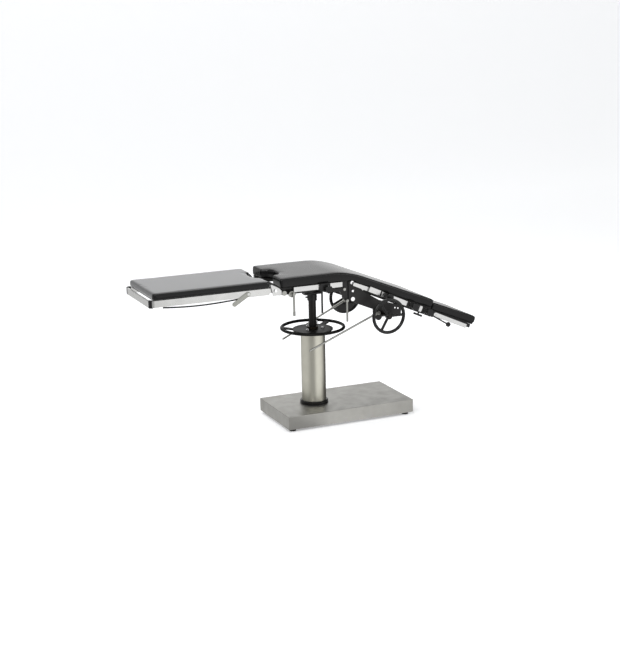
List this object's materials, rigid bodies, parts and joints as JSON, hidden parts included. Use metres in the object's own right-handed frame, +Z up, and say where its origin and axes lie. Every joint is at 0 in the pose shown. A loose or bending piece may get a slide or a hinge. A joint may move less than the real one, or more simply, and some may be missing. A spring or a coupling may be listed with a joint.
{
  "type": "operating table",
  "caption": "Hand-driven operating table: flat base, screw column with level handwheel, leg, seat, back and head sections, side handwheels, levers and rail clamps.",
  "frame": {"origin": "on the floor, under the axis of the lift column", "axes": "+Z up; +X along the top from the foot end to the head end; +Y towards the side away from the camera"},
  "size_m": [2.2036, 0.684, 0.974],
  "materials": {
    "stainless": "satin brushed stainless steel sheet",
    "base_steel": "flat dark primer on thick plate",
    "foot_rubber": "black rubber pad under a zinc foot",
    "chrome": "bright polished chrome",
    "bright_steel": "ground and lightly brushed steel",
    "cast_iron_tube": "machined cast iron",
    "bronze": "turned bronze",
    "screw_steel": "oiled black steel",
    "wheel_black": "smooth gloss black enamel",
    "frame_black": "semi-gloss black enamel",
    "lever_grey": "satin grey enamel",
    "knob_black": "moulded glossy black plastic",
    "board": "black stained plywood",
    "vinyl": "smooth black upholstery vinyl with a soft shine"
  },
  "bodies": {
    "base": {"base_cover": "stainless", "base_plate": "base_steel", "levelling_feet": "foot_rubber", "column_sleeve": "stainless", "column_foot_ring": "frame_black", "guide_tube": "cast_iron_tube", "guide_bushes": "bronze", "column_cap": "bright_steel"},
    "lift_wheel": {"lift_handwheel": "wheel_black", "lift_nut": "bronze", "wheel_nuts_and_pin": "chrome"},
    "ram": {"lift_screw": "screw_steel", "lock_ring": "screw_steel", "tilt_fork": "screw_steel"},
    "tilt_head": {"tilt_block": "screw_steel", "pitch_axle": "screw_steel"},
    "seat": {"seat_frame": "frame_black", "seat_board": "board", "seat_rails": "chrome", "hinge_gussets": "frame_black", "drive_arms": "frame_black", "gusset_bolts": "chrome", "gear_housings": "frame_black", "leg_hinge_brackets": "bright_steel", "clamp_eye": "bright_steel", "rod_clamp": "frame_black", "pivot_pins": "bright_steel", "seat_pad": "vinyl"},
    "back_wheel": {"near_handwheel": "wheel_black", "near_wheel_shaft": "bright_steel"},
    "pitch_wheel": {"far_handwheel": "wheel_black", "far_wheel_shaft": "bright_steel"},
    "near_hand_lever": {"near_lever": "bright_steel"},
    "far_hand_lever": {"far_lever": "bright_steel"},
    "leg": {"leg_frame": "chrome", "leg_board": "board", "leg_pad": "vinyl"},
    "leg_lever": {"leg_lock_lever": "lever_grey"},
    "back": {"back_frame": "frame_black", "back_board": "board", "back_rails": "chrome", "rail_bands": "frame_black", "rail_sockets": "bright_steel", "back_pad": "vinyl", "mattress_bend": "vinyl"},
    "knob_1": {"rail_knob_1": "knob_black"},
    "knob_2": {"rail_knob_2": "knob_black"},
    "knob_3": {"rail_knob_3": "knob_black"},
    "t_handle": {"rail_t_handle": "lever_grey"},
    "head": {"head_frame": "frame_black", "head_board": "board", "head_rails": "chrome", "head_pad": "vinyl", "head_pad_bend": "vinyl"},
    "head_ball_lever": {"ball_lever": "knob_black"},
    "tommy": {"tommy_bar": "bright_steel"},
    "side_rod": {"clamp_rod": "frame_black"},
    "side_knob": {"clamp_knob": "knob_black"},
    "hanging_rod": {"gusset_rod": "bright_steel"},
    "release": {"release_lever": "frame_black"}
  },
  "joints": [
    {"name": "lift_wheel_turn", "type": "hinge", "parent": "base", "child": "lift_wheel", "pos_m": [0, 0, 0.55], "axis": [0, 0, 1], "range_deg": [-4320, 2880]},
    {"name": "lift", "type": "slide", "parent": "base", "child": "ram", "axis": [0, 0, 1], "range_m": [-0.12, 0.08]},
    {"name": "lateral_tilt", "type": "hinge", "parent": "ram", "child": "tilt_head", "pos_m": [0, 0, 0.836], "axis": [1, 0, 0], "range_deg": [-15, 15]},
    {"name": "pitch", "type": "hinge", "parent": "tilt_head", "child": "seat", "pos_m": [0, 0, 0.88], "axis": [0, 1, 0], "range_deg": [-20, 20]},
    {"name": "pitch_wheel_turn", "type": "hinge", "parent": "seat", "child": "pitch_wheel", "pos_m": [0.376, 0.322, 0.686], "axis": [0, 1, 0], "range_deg": [-1200, 1200]},
    {"name": "back_wheel_turn", "type": "hinge", "parent": "seat", "child": "back_wheel", "pos_m": [0.376, -0.322, 0.686], "axis": [0, 1, 0], "range_deg": [-3880, 0]},
    {"name": "back_raise", "type": "hinge", "parent": "seat", "child": "back", "pos_m": [0.172, 0, 0.902], "axis": [0, 1, 0], "range_deg": [-97, 0], "deforming": ["mattress_bend"]},
    {"name": "head_angle", "type": "hinge", "parent": "back", "child": "head", "pos_m": [0.7222, 0, 0.63578], "axis": [0, 1, 0], "range_deg": [-40, 60], "deforming": ["head_pad_bend"]},
    {"name": "head_lock_turn", "type": "hinge", "parent": "head", "child": "head_ball_lever", "pos_m": [0.7222, -0.2376, 0.63578], "axis": [0, 1, 0], "range_deg": [-30, 50]},
    {"name": "leg_angle", "type": "hinge", "parent": "seat", "child": "leg", "pos_m": [-0.346, 0, 0.908], "axis": [0, -1, 0], "range_deg": [-15, 80]},
    {"name": "leg_lock_turn", "type": "hinge", "parent": "leg", "child": "leg_lever", "pos_m": [-0.518, -0.239, 0.905], "axis": [0, 1, 0], "range_deg": [-30, 25]},
    {"name": "near_lever_swing", "type": "hinge", "parent": "seat", "child": "near_hand_lever", "pos_m": [0.345, -0.236, 0.694], "axis": [0, 1, 0], "range_deg": [-5, 20]},
    {"name": "far_lever_swing", "type": "hinge", "parent": "seat", "child": "far_hand_lever", "pos_m": [0.335, 0.236, 0.682], "axis": [0, 1, 0], "range_deg": [-5, 20]},
    {"name": "tommy_bar_swing", "type": "hinge", "parent": "seat", "child": "tommy", "pos_m": [-0.232, -0.2603, 0.878], "axis": [0, 1, 0], "range_deg": [-60, 60]},
    {"name": "clamp_rod_slide", "type": "slide", "parent": "seat", "child": "side_rod", "axis": [0, 0, 1], "range_m": [0, 0.12]},
    {"name": "clamp_knob_turn", "type": "hinge", "parent": "seat", "child": "side_knob", "pos_m": [-0.007, -0.27, 0.887], "axis": [0, 1, 0], "continuous": true},
    {"name": "gusset_rod_swing", "type": "hinge", "parent": "seat", "child": "hanging_rod", "pos_m": [0.139, -0.223, 0.791], "axis": [0, 1, 0], "range_deg": [0, 35]},
    {"name": "release_lever_turn", "type": "hinge", "parent": "seat", "child": "release", "pos_m": [0.122, -0.2193, 0.864], "axis": [0, 1, 0], "range_deg": [-25, 0]},
    {"name": "rail_knob_1_turn", "type": "hinge", "parent": "back", "child": "knob_1", "pos_m": [0.41094, -0.27, 0.7921], "axis": [0, 1, 0], "continuous": true},
    {"name": "rail_knob_2_turn", "type": "hinge", "parent": "back", "child": "knob_2", "pos_m": [0.58628, -0.27, 0.71145], "axis": [0, 1, 0], "continuous": true},
    {"name": "rail_knob_3_turn", "type": "hinge", "parent": "back", "child": "knob_3", "pos_m": [0.69167, -0.27, 0.66298], "axis": [0, 1, 0], "continuous": true},
    {"name": "t_handle_turn", "type": "hinge", "parent": "back", "child": "t_handle", "pos_m": [0.62426, -0.249, 0.67197], "axis": [0.4179, 0, 0.9085], "continuous": true}
  ],
  "couplings": [
    {"joint": "lift", "follows": "lift_wheel_turn", "m_per_rad": 0.0015915},
    {"joint": "pitch", "follows": "pitch_wheel_turn", "ratio": 0.016667},
    {"joint": "back_raise", "follows": "back_wheel_turn", "ratio": 0.025}
  ]
}
